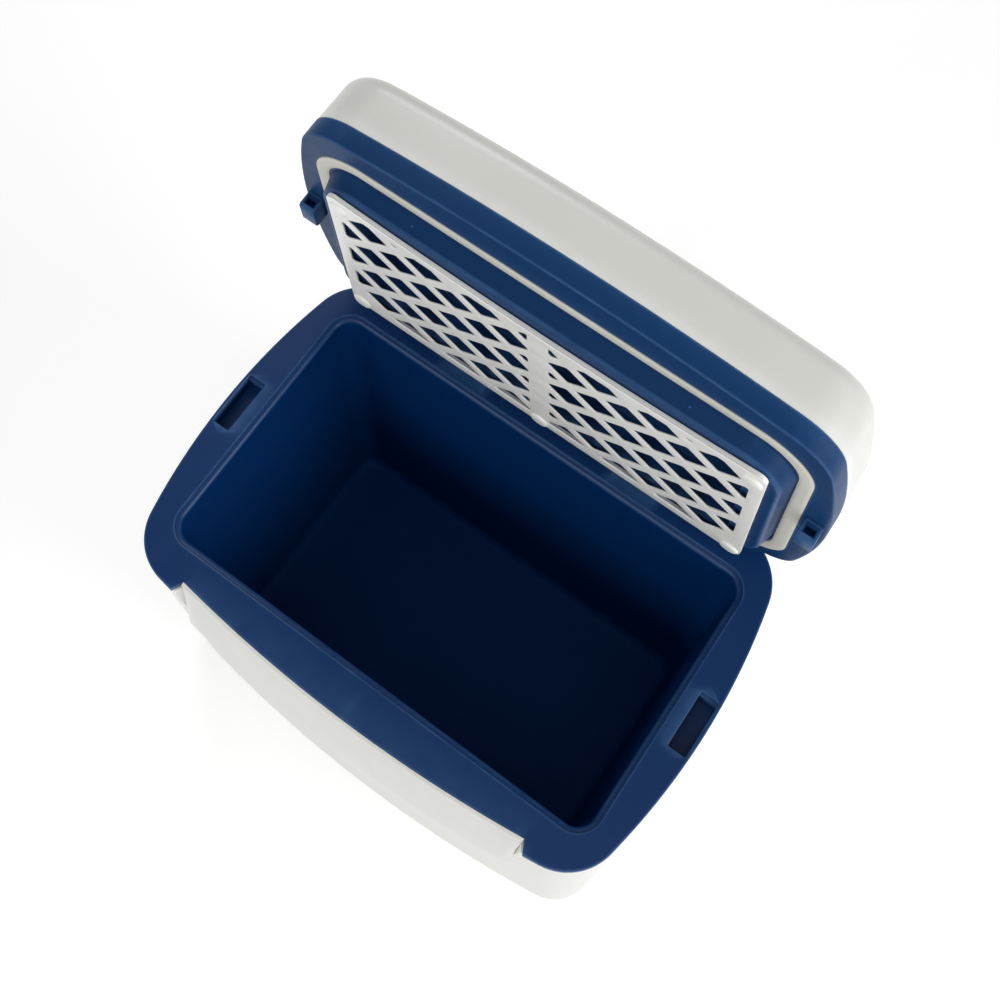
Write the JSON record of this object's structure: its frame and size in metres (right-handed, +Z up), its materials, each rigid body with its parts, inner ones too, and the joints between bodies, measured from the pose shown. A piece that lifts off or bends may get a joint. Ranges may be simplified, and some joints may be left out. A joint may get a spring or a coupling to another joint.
{
  "type": "cooler chest",
  "caption": "Small insulated chest with a bowed rim, a deep rounded cavity, a hinged lid whose plug holds an ice-pack pocket behind a lattice grille, and a folding carry handle.",
  "frame": {"origin": "middle of the footprint on the floor, with the lid open on its stop", "axes": "+Z up, +Y towards the hinge side, +X along the rim's long side"},
  "size_m": [0.414, 0.3264, 0.552],
  "materials": {
    "white_plastic": "satin moulded plastic",
    "navy_plastic": "satin moulded plastic",
    "insulation_foam": "rigid foam, hidden",
    "pale_gasket": "soft matte strip",
    "steel": "plain steel"
  },
  "bodies": {
    "chest": {"outer_shell": "white_plastic", "inner_liner": "navy_plastic", "body_foam": "insulation_foam", "hinge_lug_left": "navy_plastic", "hinge_lug_right": "navy_plastic", "hinge_screws": "steel"},
    "lid": {"lid_shell": "white_plastic", "lid_liner": "navy_plastic", "lid_foam": "insulation_foam", "lid_gasket": "pale_gasket", "latch_tab_left": "navy_plastic", "latch_tab_right": "navy_plastic", "hinge_pins": "steel", "handle_pins": "steel"},
    "grille": {"ice_pack_grille": "white_plastic", "grille_pegs": "white_plastic"},
    "handle": {"carry_handle": "white_plastic"}
  },
  "joints": [
    {"name": "lid_hinge", "type": "hinge", "parent": "chest", "child": "lid", "pos_m": [0, 0.133, 0.2742], "axis": [1, 0, 0], "range_deg": [0, 86.4]},
    {"name": "handle_swing", "type": "hinge", "parent": "lid", "child": "handle", "pos_m": [0, 0.16357, 0.40939], "axis": [1, 0, 0], "range_deg": [0, 90]},
    {"name": "grille_pull", "type": "slide", "parent": "lid", "child": "grille", "axis": [0, -0.998, -0.0628], "range_m": [0, 0.008]}
  ]
}
